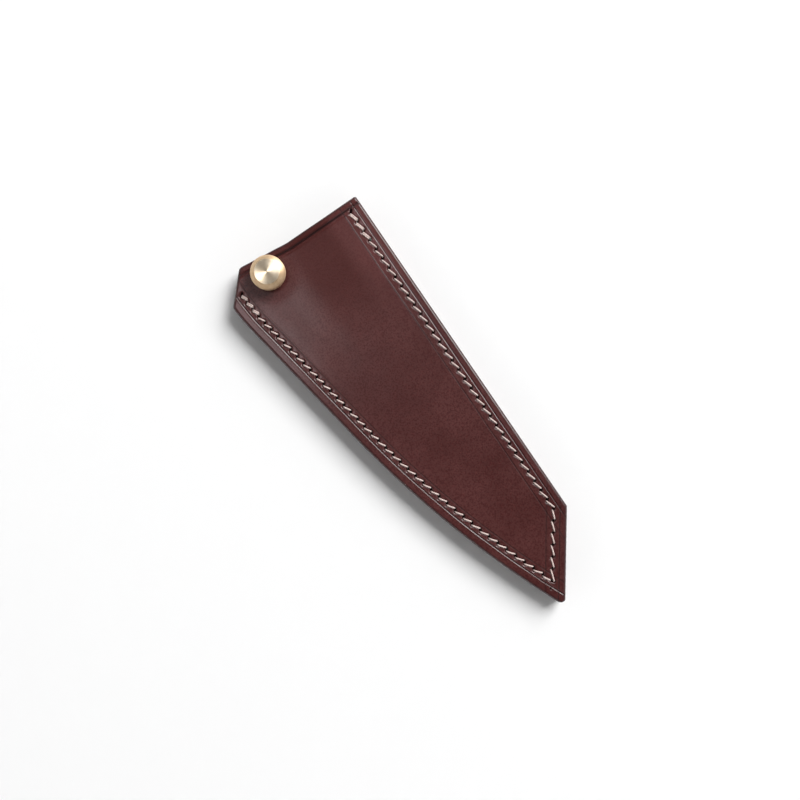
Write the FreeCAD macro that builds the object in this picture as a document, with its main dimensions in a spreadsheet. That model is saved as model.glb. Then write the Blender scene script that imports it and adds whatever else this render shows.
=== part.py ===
# Leather blade sheath for an angled-tip kitchen knife, closed by a brass thumb screw.
# Millimetres. X runs from the mouth to the tip, Y from the edge side to the spine, and Z from the
# back panel to the front panel. The plan is drawn from the heel corner of the mouth, and each piece
# is then placed so that the origin is at the centre of the sheath's back.
import FreeCAD, Part
import math
import os
import Sketcher
from FreeCAD import Placement, Rotation, Vector

doc = FreeCAD.newDocument("BladeSheath")

# ---------------------------------------------------------------- driving dimensions
SIZES = {
    # plan of the two panels
    "sheath_length": 200.0,
    "sheath_height": 71.6,
    "tip_length": 33.9,         # how much of the length the angled tip edge takes
    "tip_angle": 35.3,          # slope of the tip edge, in degrees
    "blunt_setback": 1.1,       # the tip's blunt end leans back by this
    "blunt_drop": 2.6,
    "belly_radius": 466.0,      # long curve of the edge side
    "belly_angle": 9.55,        # slope of its straight stretch, in degrees
    "ease_radius": 100.0,       # short curve between the straight and the heel corner
    "ease_length": 13.1,
    "heel_setback": 12.9,       # the corner cut off between the edge side and the mouth
    "ear_rise": 12.1,
    "ear_flare": 2.6,           # the mouth reaches out by this at its lower corner
    "flare_rise": 35.4,
    "corner_round": 1.0,
    "heel_round": 2.0,
    # leather
    "leather": 2.4,
    "welt_height": 4.4,
    "welt_width": 8.9,
    "edge_round": 1.0,
    # stitching
    "thread_diameter": 0.8,
    "thread_gap": 0.06,
    "thread_bend": 0.5,
    "strand_spread": 1.5,       # between a slit's two strands, along and across, in thread diameters
    "front_sink": 0.45,         # how deep a stitch lies in the front face
    "back_sink": 0.9,
    "corner_gap": 0.1,          # between the two back stitches that cross at a corner
    "spine_row": 5.65,
    "tip_row": 6.0,
    "edge_row": 6.4,
    "row_start": 4.7,           # first hole of the spine row, from the mouth
    "row_end": 10.4,            # last hole of the edge row, from the ear
    "stitch_pitch": 4.9,
    "edge_pitch": 4.36,
    "heel_pitch": 3.87,
    # brass closure
    "pin_inset": 7.1,
    "pin_rise": 21.5,
    "stud_diameter": 5.0,
    "screw_gap": 0.05,
    "seat_gap": 0.05,
    "barrel_diameter": 7.0,
    "flange_diameter": 12.0,
    "flange_thickness": 0.8,
    "ring_diameter": 10.5,
    "ring_thickness": 0.8,
    "head_diameter": 10.0,
    "head_thickness": 0.8,
    "stud_tip_gap": 0.2,        # between the stud's end and the floor of the post
    "stud_hold": 5.0,           # length of the stud inside the knob
    "stud_chamfer": 0.4,
    "washer_diameter": 13.2,
    "washer_thickness": 1.0,
    "knob_diameter": 15.0,
    "knob_face": 10.8,
    "knob_height": 7.2,
    "knob_wall": 4.6,           # height of the knob's straight side
    "knob_foot": 13.6,          # diameter of the knob's relieved foot
    "knob_relief": 0.7,
}

sheet = doc.addObject("Spreadsheet::Sheet", "Sizes")
for row, (alias, value) in enumerate(SIZES.items(), start=1):
    sheet.set(f"A{row}", alias)
    sheet.set(f"B{row}", str(value))
    sheet.setAlias(f"B{row}", alias)
doc.recompute()


def size(alias):
    return float(sheet.get(alias))


def measured(expression):
    """Value of an expression of the sheet's cells, in millimetres."""
    value = sheet.evalExpression(expression)
    return float(getattr(value, "Value", value))


# ---------------------------------------------------------------- sketch helpers
X_AXIS, Y_AXIS, START, END, CENTRE = -1, -2, 1, 2, 3


def bind(sketch, constraint, expression):
    index = sketch.addConstraint(constraint)
    sketch.setExpression(f"Constraints[{index}]", expression)


def pin_point(sketch, element, end, x_expression, y_expression):
    """Hold one point of a sketch at x, y, each an expression of the sheet's cells."""
    for kind, axis, expression in (("DistanceX", Y_AXIS, x_expression),
                                   ("DistanceY", X_AXIS, y_expression)):
        if expression == "0":
            sketch.addConstraint(Sketcher.Constraint("PointOnObject", element, end, axis))
        else:
            value = measured(expression)
            bind(sketch, Sketcher.Constraint(kind, X_AXIS, START, element, end, value), expression)


def new_body(name):
    return doc.addObject("PartDesign::Body", name)


def new_sketch(body, name, plane, height="0"):
    """Sketch on one of the body's own origin planes, raised by an expression."""
    sketch = body.newObject("Sketcher::SketchObject", name)
    roles = {feature.Role: feature for feature in body.Origin.OriginFeatures}
    sketch.AttachmentSupport = [(roles[plane], "")]
    sketch.MapMode = "FlatFace"
    if height != "0":
        sketch.setExpression("AttachmentOffset.Base.z", height)
    return sketch


# ---------------------------------------------------------------- plan of the sheath
slope = math.radians(size("belly_angle"))
tip_slope = math.radians(size("tip_angle"))
along_belly = Vector(math.cos(slope), math.sin(slope), 0)
into_belly = Vector(-math.sin(slope), math.cos(slope), 0)
along_tip = Vector(math.cos(tip_slope), -math.sin(tip_slope), 0)
into_tip = Vector(-math.sin(tip_slope), -math.cos(tip_slope), 0)

ease_radius = size("ease_radius")
belly_radius = size("belly_radius")
heel = Vector(size("heel_setback"), 0, 0)
ease_run = ease_radius * math.sin(slope) - size("ease_length")
ease_centre = Vector(heel.x - ease_run, math.sqrt(ease_radius**2 - ease_run**2), 0)
ease_end = ease_centre - into_belly * ease_radius

mouth_top = Vector(size("ear_flare"), size("sheath_height"), 0)
spine_end = Vector(size("sheath_length") - size("tip_length"), size("sheath_height"), 0)
tip_top = spine_end + along_tip * (size("tip_length") / math.cos(tip_slope))
tip_bottom = tip_top - Vector(size("blunt_setback"), size("blunt_drop"), 0)
ear = Vector(0, size("ear_rise"), 0)

# The long curve is tangent to the belly's straight stretch and ends at the tip, which sets the
# straight stretch's length.
reach = tip_bottom - ease_end
offset = belly_radius - reach.dot(into_belly)
straight_length = reach.dot(along_belly) - math.sqrt(belly_radius**2 - offset**2)
belly_start = ease_end + along_belly * straight_length
belly_centre = belly_start + into_belly * belly_radius

pin = Vector(size("ear_flare") + size("pin_inset"), size("pin_rise"), 0)

TIP_TOP_Y = "(Sizes.sheath_height - Sizes.tip_length * tan(Sizes.tip_angle * 1deg))"


def arc_between(centre, first, last):
    radius = (first - centre).Length
    angles = [math.atan2(p.y - centre.y, p.x - centre.x) for p in (first, last)]
    return Part.ArcOfCircle(Part.Circle(centre, Vector(0, 0, 1), radius), *angles)


def draw_plan(sketch, mouth_corners):
    """Outline of the sheath. mouth_corners are the corners from the heel to the spine, each a pair
    of expressions, so that the same outline serves the panels and the blade space."""
    corners = [Vector(measured(x), measured(y), 0) for x, y in mouth_corners]
    spine_start = corners[-1]
    chain = [heel] + corners
    mouth_lines = [Part.LineSegment(p, q) for p, q in zip(chain[:-1], chain[1:])]
    sketch.addGeometry([
        Part.LineSegment(spine_start, spine_end),
        Part.LineSegment(spine_end, tip_top),
        Part.LineSegment(tip_top, tip_bottom),
        arc_between(belly_centre, belly_start, tip_bottom),
        Part.LineSegment(ease_end, belly_start),
        arc_between(ease_centre, heel, ease_end),
        *mouth_lines,
    ], False)
    spine, tip, blunt, belly, straight, ease = range(6)
    first_mouth = ease + 1
    joined = [(spine, END, tip, START), (tip, END, blunt, START), (blunt, END, belly, END),
              (ease, START, first_mouth, START)]
    joined += [(first_mouth + i, END, first_mouth + i + 1, START) for i in range(len(corners) - 1)]
    joined += [(first_mouth + len(corners) - 1, END, spine, START)]
    for first, first_end, second, second_end in joined:
        sketch.addConstraint(Sketcher.Constraint("Coincident", first, first_end, second, second_end))
    sketch.addConstraint(Sketcher.Constraint("Tangent", belly, START, straight, END))
    sketch.addConstraint(Sketcher.Constraint("Tangent", straight, START, ease, END))
    bind(sketch, Sketcher.Constraint("Angle", straight, slope), "Sizes.belly_angle * 1deg")
    pin_point(sketch, spine, END, "Sizes.sheath_length - Sizes.tip_length", "Sizes.sheath_height")
    pin_point(sketch, tip, END, "Sizes.sheath_length", TIP_TOP_Y)
    pin_point(sketch, blunt, END, "Sizes.sheath_length - Sizes.blunt_setback",
              f"{TIP_TOP_Y} - Sizes.blunt_drop")
    bind(sketch, Sketcher.Constraint("Radius", belly, belly_radius), "Sizes.belly_radius")
    pin_point(sketch, ease, START, "Sizes.heel_setback", "0")
    ease_x = "(Sizes.ease_radius * sin(Sizes.belly_angle * 1deg) - Sizes.ease_length)"
    pin_point(sketch, ease, CENTRE, f"Sizes.heel_setback - {ease_x}",
              f"sqrt(Sizes.ease_radius^2 - {ease_x}^2)")
    for index, (x_expression, y_expression) in enumerate(mouth_corners):
        pin_point(sketch, first_mouth + index, END, x_expression, y_expression)


PANEL_MOUTH = [("0", "Sizes.ear_rise"), ("Sizes.ear_flare", "Sizes.flare_rise"),
               ("Sizes.ear_flare", "Sizes.sheath_height")]


def upright_edges(shape, corners):
    """Names of the straight upright edges that stand at the given corners."""
    names = []
    for index, edge in enumerate(shape.Edges, start=1):
        low, high = edge.Vertexes[0].Point, edge.Vertexes[-1].Point
        upright = abs(low.x - high.x) + abs(low.y - high.y) < 1e-6 and abs(low.z - high.z) > 1e-6
        if upright and any(math.hypot(low.x - p.x, low.y - p.y) < 1e-3 for p in corners):
            names.append(f"Edge{index}")
    return names


def add_fillet(body, name, base, edges, radius):
    fillet = body.newObject("PartDesign::Fillet", name)
    fillet.Base = (base, edges)
    fillet.setExpression("Radius", radius)
    doc.recompute()
    return fillet


def leather_blank(name, bottom, thickness):
    """One layer of leather to the full outline, with its corners rounded."""
    body = new_body(f"{name}_blank")
    sketch = new_sketch(body, f"{name}_plan", "XY_Plane", bottom)
    draw_plan(sketch, PANEL_MOUTH)
    pad = body.newObject("PartDesign::Pad", f"{name}_pad")
    pad.Profile = sketch
    pad.setExpression("Length", thickness)
    doc.recompute()
    sharp = upright_edges(pad.Shape, (mouth_top, spine_end, tip_top, tip_bottom))
    rounded = add_fillet(body, f"{name}_corners", pad, sharp, "Sizes.corner_round")
    heel_edges = upright_edges(rounded.Shape, (heel, ear))
    add_fillet(body, f"{name}_heel", rounded, heel_edges, "Sizes.heel_round")
    return body


def burnish(body, name, height):
    """Round the panel's outer edge at the given height, as a burnished edge is."""
    shape = body.Tip.Shape
    edges = [f"Edge{i}" for i, edge in enumerate(shape.Edges, start=1)
             if abs(edge.BoundBox.ZMin - height) + abs(edge.BoundBox.ZMax - height) < 1e-3]
    add_fillet(body, name, body.Tip, edges, "Sizes.edge_round")


def bore_hole(body, name, height, diameter, depth, reversed_cut):
    """Round hole on the pin's axis, cut from the given height."""
    before = body.Tip.Shape.Volume
    sketch = new_sketch(body, f"{name}_circle", "XY_Plane", height)
    radius = measured(diameter) / 2
    sketch.addGeometry(Part.Circle(pin, Vector(0, 0, 1), radius), False)
    pin_point(sketch, 0, CENTRE, "Sizes.ear_flare + Sizes.pin_inset", "Sizes.pin_rise")
    bind(sketch, Sketcher.Constraint("Diameter", 0, 2 * radius), diameter)
    pocket = body.newObject("PartDesign::Pocket", name)
    pocket.Profile = sketch
    pocket.setExpression("Length", depth)
    pocket.Reversed = reversed_cut
    doc.recompute()
    if pocket.Shape.Volume >= before - 1e-3:
        raise RuntimeError(f"{name} cuts nothing")


STACK = "(2 * Sizes.leather + Sizes.welt_height)"
FRONT_BOTTOM = "(Sizes.leather + Sizes.welt_height)"
stack = measured(STACK)

front_blank = leather_blank("front", FRONT_BOTTOM, "Sizes.leather")
burnish(front_blank, "front_edge", stack)
bore_hole(front_blank, "front_bush_hole", FRONT_BOTTOM,
          "Sizes.barrel_diameter + 2 * Sizes.seat_gap", "Sizes.leather", True)
bore_hole(front_blank, "front_ring_seat", FRONT_BOTTOM,
          "Sizes.ring_diameter + 2 * Sizes.seat_gap", "Sizes.ring_thickness", True)

back_blank = leather_blank("back", "0", "Sizes.leather")
burnish(back_blank, "back_edge", 0.0)
bore_hole(back_blank, "back_post_hole", "0",
          "Sizes.barrel_diameter + 2 * Sizes.seat_gap", "Sizes.leather", True)
bore_hole(back_blank, "back_head_seat", "0",
          "Sizes.head_diameter + 2 * Sizes.seat_gap", "Sizes.head_thickness", True)

welt_blank = leather_blank("welt", "Sizes.leather", "Sizes.welt_height")

# ---------------------------------------------------------------- blade space and the three welts
# The blade space is the outline set in by the welt's width, and open at the mouth.
OPEN_MOUTH_X = "-(2 * Sizes.welt_width)"
space_plan = doc.addObject("Sketcher::SketchObject", "blade_space_plan")
open_corner = (OPEN_MOUTH_X, "0")
draw_plan(space_plan, [open_corner, (OPEN_MOUTH_X, "Sizes.sheath_height")])
space_outline = doc.addObject("Part::Offset2D", "blade_space_outline")
space_outline.Source = space_plan
space_outline.Join = "Intersection"
space_outline.setExpression("Value", "-Sizes.welt_width")
blade_space = doc.addObject("Part::Extrusion", "blade_space")
blade_space.Base = space_outline
blade_space.DirMode = "Custom"
blade_space.Dir = Vector(0, 0, 1)
blade_space.Solid = True
blade_space.setExpression("LengthFwd", STACK)


def zone(name, corner, angle, length):
    """Long box whose lower side lies on a welt's inner line, reaching past the outline."""
    box = doc.addObject("Part::Box", name)
    box.setExpression("Height", STACK)
    box.setExpression("Length", length)
    box.setExpression("Width", "2 * Sizes.welt_width")
    box.Placement = Placement(corner, Rotation(Vector(0, 0, 1), angle))
    return box


welt_width = size("welt_width")
spine_zone = zone("spine_zone", Vector(-welt_width, size("sheath_height") - welt_width, 0), 0,
                  "Sizes.sheath_length + 2 * Sizes.welt_width")
tip_zone = zone("tip_zone", spine_end + into_tip * welt_width - along_tip * size("sheath_height"),
                -size("tip_angle"), "2 * Sizes.sheath_height")


def boolean(kind, name, base, tool):
    result = doc.addObject(f"Part::{kind}", name)
    result.Base = base
    result.Tool = tool
    return result


below_spine = boolean("Cut", "below_spine_welt", welt_blank, spine_zone)
spine_strip = boolean("Common", "spine_strip", welt_blank, spine_zone)
tip_strip = boolean("Common", "tip_strip", below_spine, tip_zone)
inside_tip = boolean("Cut", "inside_tip_welt", below_spine, tip_zone)
edge_strip = boolean("Cut", "edge_strip", inside_tip, blade_space)
doc.recompute()

# ---------------------------------------------------------------- stitch holes
edge_row = size("edge_row")
row_top = size("sheath_height") - size("spine_row")
tip_line = spine_end + into_tip * size("tip_row")
corner_run = (tip_line.y - row_top) / math.sin(tip_slope)
spine_corner = tip_line + along_tip * corner_run
first_hole = Vector(size("ear_flare") + size("row_start"), row_top, 0)

# The tip row meets the edge row on the long curve's inner circle.
to_centre = belly_centre - spine_corner
middle = to_centre.dot(along_tip)
half_chord = math.sqrt((belly_radius - edge_row)**2 - (to_centre - along_tip * middle).Length**2)
tip_corner = spine_corner + along_tip * (middle + half_chord)
ease_row_radius = ease_radius - edge_row
last_run = size("row_end") - ease_centre.x
last_hole = ease_centre + Vector(last_run, -math.sqrt(ease_row_radius**2 - last_run**2), 0)
row_edges = [
    arc_between(ease_centre, last_hole, ease_end + into_belly * edge_row).toShape(),
    Part.LineSegment(ease_end + into_belly * edge_row, belly_start + into_belly * edge_row).toShape(),
    arc_between(belly_centre, belly_start + into_belly * edge_row, tip_corner).toShape(),
]
edge_row_length = sum(edge.Length for edge in row_edges)


def edge_row_point(distance):
    """Point of the edge row at a distance from its heel end."""
    for edge in row_edges[:-1]:
        if distance < edge.Length:
            return edge.valueAt(edge.getParameterByLength(distance))
        distance -= edge.Length
    last = row_edges[-1]
    return last.valueAt(last.getParameterByLength(min(distance, last.Length)))


def straight_holes(first, last):
    """Holes from first up to, and without, last."""
    count = round((last - first).Length / size("stitch_pitch"))
    return [first + (last - first) * (i / count) for i in range(count)]


def edge_holes():
    """Holes of the edge row from the tip to the heel, closer together towards the heel."""
    count = round(edge_row_length / size("edge_pitch"))
    start = size("heel_pitch") / size("edge_pitch")
    shares = [i / count for i in range(count, -1, -1)]
    return [edge_row_point(edge_row_length * (start * t + (1 - start) * t * t)) for t in shares]


spine_holes = straight_holes(first_hole, spine_corner)
tip_holes = straight_holes(spine_corner, tip_corner)
holes = spine_holes + tip_holes + edge_holes()
corner_stitches = (len(spine_holes) - 1, len(spine_holes) + len(tip_holes) - 1)


thread_radius = size("thread_diameter") / 2


def strand_places(index):
    """Where the two strands pass through one slit: the one that goes down, the one that comes up."""
    before, after = holes[max(index - 1, 0)], holes[min(index + 1, len(holes) - 1)]
    here = holes[index]
    ahead = Vector(0, 0, 0)
    for step in (here - before, after - here):
        if step.Length > 0:
            ahead += step.normalize()
    ahead.normalize()
    left = Vector(-ahead.y, ahead.x, 0)
    shift = (left - ahead) * size("strand_spread") * thread_radius
    return here + shift, here - shift


downs, ups = zip(*(strand_places(i) for i in range(len(holes))))
slot_radius = thread_radius + size("thread_gap")
front_level = stack - size("front_sink") + thread_radius
back_level = size("back_sink") - thread_radius
corner_level = back_level + size("thread_diameter") + size("corner_gap")


def back_stitch_level(stitch):
    """Height of a back stitch: one that ends at a corner lies over the next one, which it crosses."""
    return corner_level if stitch in corner_stitches else back_level


def slot(first, last, bottom, top):
    """Round-ended slot between two points, as a solid."""
    ahead = (last - first).normalize() * slot_radius
    side = Vector(-ahead.y, ahead.x, 0)
    wire = Part.Wire([
        Part.LineSegment(first - side, last - side).toShape(),
        Part.Arc(last - side, last + ahead, last + side).toShape(),
        Part.LineSegment(last + side, first + side).toShape(),
        Part.Arc(first + side, first - ahead, first - side).toShape(),
    ])
    face = Part.Face(wire)
    face.translate(Vector(0, 0, bottom))
    return face.extrude(Vector(0, 0, top - bottom))


def fused(name, solids):
    feature = doc.addObject("Part::Feature", name)
    feature.Shape = solids[0].multiFuse(solids[1:])
    return feature


OVERCUT = 1.0
stitches = range(len(holes) - 1)
slits = [slot(down, up, -OVERCUT, stack + OVERCUT) for down, up in zip(downs, ups)]
front_wells = [slot(ups[k], downs[k + 1], front_level - slot_radius, stack + OVERCUT)
               for k in stitches]
back_wells = [slot(downs[k], ups[k + 1], -OVERCUT, back_stitch_level(k) + slot_radius)
              for k in stitches]
slit_cutter = fused("slit_cutter", slits)
front_cutter = fused("front_stitch_cutter", slits + front_wells)
back_cutter = fused("back_stitch_cutter", slits + back_wells)


# ---------------------------------------------------------------- thread
def rounded_path(points, radius):
    """Straight runs joined by tangent arcs of one radius."""
    edges = []
    start = points[0]
    for before, corner, after in zip(points, points[1:], points[2:]):
        incoming, outgoing = (corner - before).normalize(), (after - corner).normalize()
        setback = radius * math.tan(incoming.getAngle(outgoing) / 2)
        first, last = corner - incoming * setback, corner + outgoing * setback
        inward = (outgoing - incoming).normalize()
        half_turn = incoming.getAngle(outgoing) / 2
        centre = corner + inward * (radius / math.cos(half_turn))
        edges.append(Part.LineSegment(start, first).toShape())
        edges.append(Part.Arc(first, centre - inward * radius, last).toShape())
        start = last
    edges.append(Part.LineSegment(start, points[-1]).toShape())
    return Part.Wire(edges)


def strand(name, first_front):
    """One of the two threads of the saddle stitch, in front on every other stitch."""
    points = []
    for k in stitches:
        in_front = (k % 2 == 0) == first_front
        level = front_level if in_front else back_stitch_level(k)
        ends = (ups[k], downs[k + 1]) if in_front else (downs[k], ups[k + 1])
        points += [Vector(end.x, end.y, level) for end in ends]
    other_level = {True: back_level, False: front_level}
    last_in_front = (len(stitches) % 2 == 1) == first_front
    points.insert(0, Vector(points[0].x, points[0].y, other_level[first_front]))
    points.append(Vector(points[-1].x, points[-1].y, other_level[last_in_front]))
    path = rounded_path(points, size("thread_bend"))
    section = Part.Wire(Part.Circle(points[0], points[1] - points[0], thread_radius).toShape())
    thread = doc.addObject("Part::Feature", name)
    thread.Shape = path.makePipeShell([section], True, False)
    expected = math.pi * thread_radius**2 * path.Length
    if abs(thread.Shape.Volume / expected - 1) > 0.01:
        raise RuntimeError(f"{name} has the wrong volume")
    return thread


thread_a = strand("saddle_thread_a", True)
thread_b = strand("saddle_thread_b", False)


# ---------------------------------------------------------------- turned brass pieces
def turned(name, corners):
    """Solid of revolution about Z. Each corner is a pair of expressions: radius and height."""
    body = new_body(name)
    sketch = new_sketch(body, f"{name}_section", "XZ_Plane")
    points = [Vector(measured(r), measured(z), 0) for r, z in corners]
    loop = list(zip(points, points[1:] + points[:1]))
    sketch.addGeometry([Part.LineSegment(p, q) for p, q in loop], False)
    for index, (radius, height) in enumerate(corners):
        previous = (index - 1) % len(corners)
        sketch.addConstraint(Sketcher.Constraint("Coincident", previous, END, index, START))
        pin_point(sketch, index, START, radius, height)
    spin = body.newObject("PartDesign::Revolution", f"{name}_turning")
    spin.Profile = sketch
    spin.ReferenceAxis = (sketch, ["V_Axis"])
    spin.Angle = 360.0
    doc.recompute()
    return body


STUD_R = "(Sizes.stud_diameter / 2 - Sizes.screw_gap)"
THREAD_R = "Sizes.stud_diameter / 2"
BARREL_R = "Sizes.barrel_diameter / 2"
FLANGE_TOP = f"({STACK} + Sizes.flange_thickness)"
KNOB_BOTTOM = f"({FLANGE_TOP} + Sizes.washer_thickness)"
STUD_BOTTOM = "(Sizes.head_thickness + Sizes.stud_tip_gap)"

front_bush = turned("front_bush", [
    (THREAD_R, FRONT_BOTTOM), (BARREL_R, FRONT_BOTTOM), (BARREL_R, STACK),
    ("Sizes.flange_diameter / 2", STACK), ("Sizes.flange_diameter / 2", FLANGE_TOP),
    (THREAD_R, FLANGE_TOP)])
bush_ring_nut = turned("bush_ring_nut", [
    (f"{BARREL_R} + Sizes.seat_gap", FRONT_BOTTOM), ("Sizes.ring_diameter / 2", FRONT_BOTTOM),
    ("Sizes.ring_diameter / 2", f"{FRONT_BOTTOM} + Sizes.ring_thickness"),
    (f"{BARREL_R} + Sizes.seat_gap", f"{FRONT_BOTTOM} + Sizes.ring_thickness")])
back_post = turned("back_post", [
    ("0", "0"), ("Sizes.head_diameter / 2", "0"),
    ("Sizes.head_diameter / 2", "Sizes.head_thickness"), (BARREL_R, "Sizes.head_thickness"),
    (BARREL_R, "Sizes.leather"), (THREAD_R, "Sizes.leather"),
    (THREAD_R, "Sizes.head_thickness"), ("0", "Sizes.head_thickness")])
knob_washer = turned("knob_washer", [
    (f"{THREAD_R} + Sizes.screw_gap", FLANGE_TOP), ("Sizes.washer_diameter / 2", FLANGE_TOP),
    ("Sizes.washer_diameter / 2", KNOB_BOTTOM), (f"{THREAD_R} + Sizes.screw_gap", KNOB_BOTTOM)])
threaded_stud = turned("threaded_stud", [
    ("0", STUD_BOTTOM), (f"{STUD_R} - Sizes.stud_chamfer", STUD_BOTTOM),
    (STUD_R, f"{STUD_BOTTOM} + Sizes.stud_chamfer"),
    (STUD_R, f"{KNOB_BOTTOM} + Sizes.stud_hold"), ("0", f"{KNOB_BOTTOM} + Sizes.stud_hold")])
thumb_knob = turned("thumb_knob", [
    (THREAD_R, KNOB_BOTTOM), ("Sizes.knob_foot / 2", KNOB_BOTTOM),
    ("Sizes.knob_diameter / 2", f"{KNOB_BOTTOM} + Sizes.knob_relief"),
    ("Sizes.knob_diameter / 2", f"{KNOB_BOTTOM} + Sizes.knob_wall"),
    ("Sizes.knob_face / 2", f"{KNOB_BOTTOM} + Sizes.knob_height"),
    ("0", f"{KNOB_BOTTOM} + Sizes.knob_height"),
    ("0", f"{KNOB_BOTTOM} + Sizes.stud_hold + Sizes.seat_gap"),
    (THREAD_R, f"{KNOB_BOTTOM} + Sizes.stud_hold + Sizes.seat_gap")])

# ---------------------------------------------------------------- the pieces
front_panel = boolean("Cut", "front_panel", front_blank, front_cutter)
back_panel = boolean("Cut", "back_panel", back_blank, back_cutter)
spine_welt = boolean("Cut", "spine_welt", spine_strip, slit_cutter)
tip_welt = boolean("Cut", "tip_welt", tip_strip, slit_cutter)
edge_welt = boolean("Cut", "edge_welt", edge_strip, slit_cutter)
doc.recompute()

box = front_panel.Shape.BoundBox
plan_centre = Vector((box.XMin + box.XMax) / 2, (box.YMin + box.YMax) / 2, 0)
flat_pieces = [front_panel, back_panel, spine_welt, tip_welt, edge_welt, thread_a, thread_b]
turned_pieces = [front_bush, bush_ring_nut, back_post, knob_washer, threaded_stud, thumb_knob]
for piece in flat_pieces:
    piece.Placement = Placement(-plan_centre, Rotation())
for piece in turned_pieces:
    piece.Placement = Placement(pin - plan_centre, Rotation())
doc.recompute()

# ---------------------------------------------------------------- checks and files
for item in doc.Objects:
    if "Invalid" in item.State or "Error" in item.State:
        raise RuntimeError(f"{item.Name} failed: {item.State}")
os.makedirs("parts", exist_ok=True)
for piece in flat_pieces + turned_pieces:
    piece.Label = piece.Name
    if piece.Shape.isNull() or not piece.Shape.isValid() or not piece.Shape.Solids:
        raise RuntimeError(f"{piece.Label} has no sound solid")
for piece in flat_pieces + turned_pieces:
    piece.Shape.exportStep(f"parts/{piece.Label}.step")
    print(f"{piece.Label}: {len(piece.Shape.Solids)} solid, {piece.Shape.Volume:.1f} mm3")
print(f"stitch holes: {len(holes)}, origin at plan {plan_centre.x:.3f}, {plan_centre.y:.3f}")
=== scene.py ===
import math

import bmesh
import bpy
import numpy as np
from mathutils import Matrix, Vector, kdtree

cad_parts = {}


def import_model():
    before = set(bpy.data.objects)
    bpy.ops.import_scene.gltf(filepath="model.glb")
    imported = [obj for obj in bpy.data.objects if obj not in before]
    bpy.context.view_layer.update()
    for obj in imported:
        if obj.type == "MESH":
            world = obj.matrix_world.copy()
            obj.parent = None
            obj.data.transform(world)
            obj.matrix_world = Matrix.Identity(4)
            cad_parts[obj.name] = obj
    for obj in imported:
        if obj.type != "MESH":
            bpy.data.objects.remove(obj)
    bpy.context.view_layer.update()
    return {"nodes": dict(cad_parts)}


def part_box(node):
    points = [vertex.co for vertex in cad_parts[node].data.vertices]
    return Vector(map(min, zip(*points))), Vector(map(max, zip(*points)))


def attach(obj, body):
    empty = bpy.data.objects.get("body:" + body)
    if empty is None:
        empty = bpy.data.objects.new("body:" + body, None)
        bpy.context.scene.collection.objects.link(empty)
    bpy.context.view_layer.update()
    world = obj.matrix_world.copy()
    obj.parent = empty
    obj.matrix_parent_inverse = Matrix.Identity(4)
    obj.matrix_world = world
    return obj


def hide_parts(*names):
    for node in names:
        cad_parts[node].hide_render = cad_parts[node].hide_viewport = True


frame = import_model()

# ------------------------------------------------------------------ sizes, in millimetres
MM = 0.001
SHEATH_LENGTH, SHEATH_HEIGHT = 200.0, 71.6
TIP_LENGTH, TIP_ANGLE = 33.9, math.radians(35.3)
BLUNT_SETBACK, BLUNT_DROP = 1.1, 2.6
BELLY_RADIUS, BELLY_ANGLE = 466.0, math.radians(9.55)
EASE_RADIUS, EASE_LENGTH = 100.0, 13.1
HEEL_SETBACK, EAR_RISE, EAR_FLARE, FLARE_RISE = 12.9, 12.1, 2.6, 35.4
CORNER_ROUND, HEEL_ROUND = 1.0, 2.0
PIN_INSET, PIN_RISE = 7.1, 21.5
SCREW_PITCH = 0.8
SPINE_ROW, TIP_ROW, EDGE_ROW = 5.65, 6.0, 6.4
ROW_START, ROW_END = 4.7, 10.4
STITCH_PITCH, EDGE_PITCH, HEEL_PITCH = 4.9, 4.36, 3.87
SLIT_REACH = 0.6                 # from a hole's middle to each strand, along and across the seam
EDGE_ROUND = 1.3
HOLE_RADIUS = 4.2                # the leather's hole round the bush, hidden by its flange
NOISE_CELLS = 64                 # random values along each side of a noise lattice

# Creased lines of the front: distance in from the edge, width and depth
SPINE_CREASES = [(3.3, 0.34, 0.15), (9.0, 0.34, 0.07)]
EDGE_CREASES = [(4.1, 0.32, 0.32), (8.75, 0.34, 0.08)]
TIP_CREASES = [(3.2, 0.34, 0.14), (8.95, 0.34, 0.08)]
MOUTH_GROOVE = 3.2, 0.8, 0.62

# Broad and fine unevenness of the leather: height, scale and seed
UNEVENNESS = [(0.03, 17.0, 11), (0.012, 6.0, 12)]

# Relief of a face: depths, and how far round a stitch or a hole it reaches
WELL_DEPTH, HOLE_DEPTH, PRICK_DEPTH, SINK_DEPTH = 0.5, 1.9, 1.2, 0.12
WELL_SPREAD, DOUBLED_SPREAD, HOLE_SPREAD, RIM_SPREAD, PRICK_SPREAD = 0.62, 0.3, 0.42, 1.0, 0.4
WELL_REACH, HOLE_REACH = 4.6, 2.4


def vec(x, y):
    return np.array([x, y], float)


def heights(node):
    """Lowest and highest point of a CAD node."""
    return tuple(corner.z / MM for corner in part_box(node))


def outer_radius(node):
    """Radius of a round CAD node that stands on its end."""
    low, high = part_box(node)
    return (high.x - low.x) / 2 / MM


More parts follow.
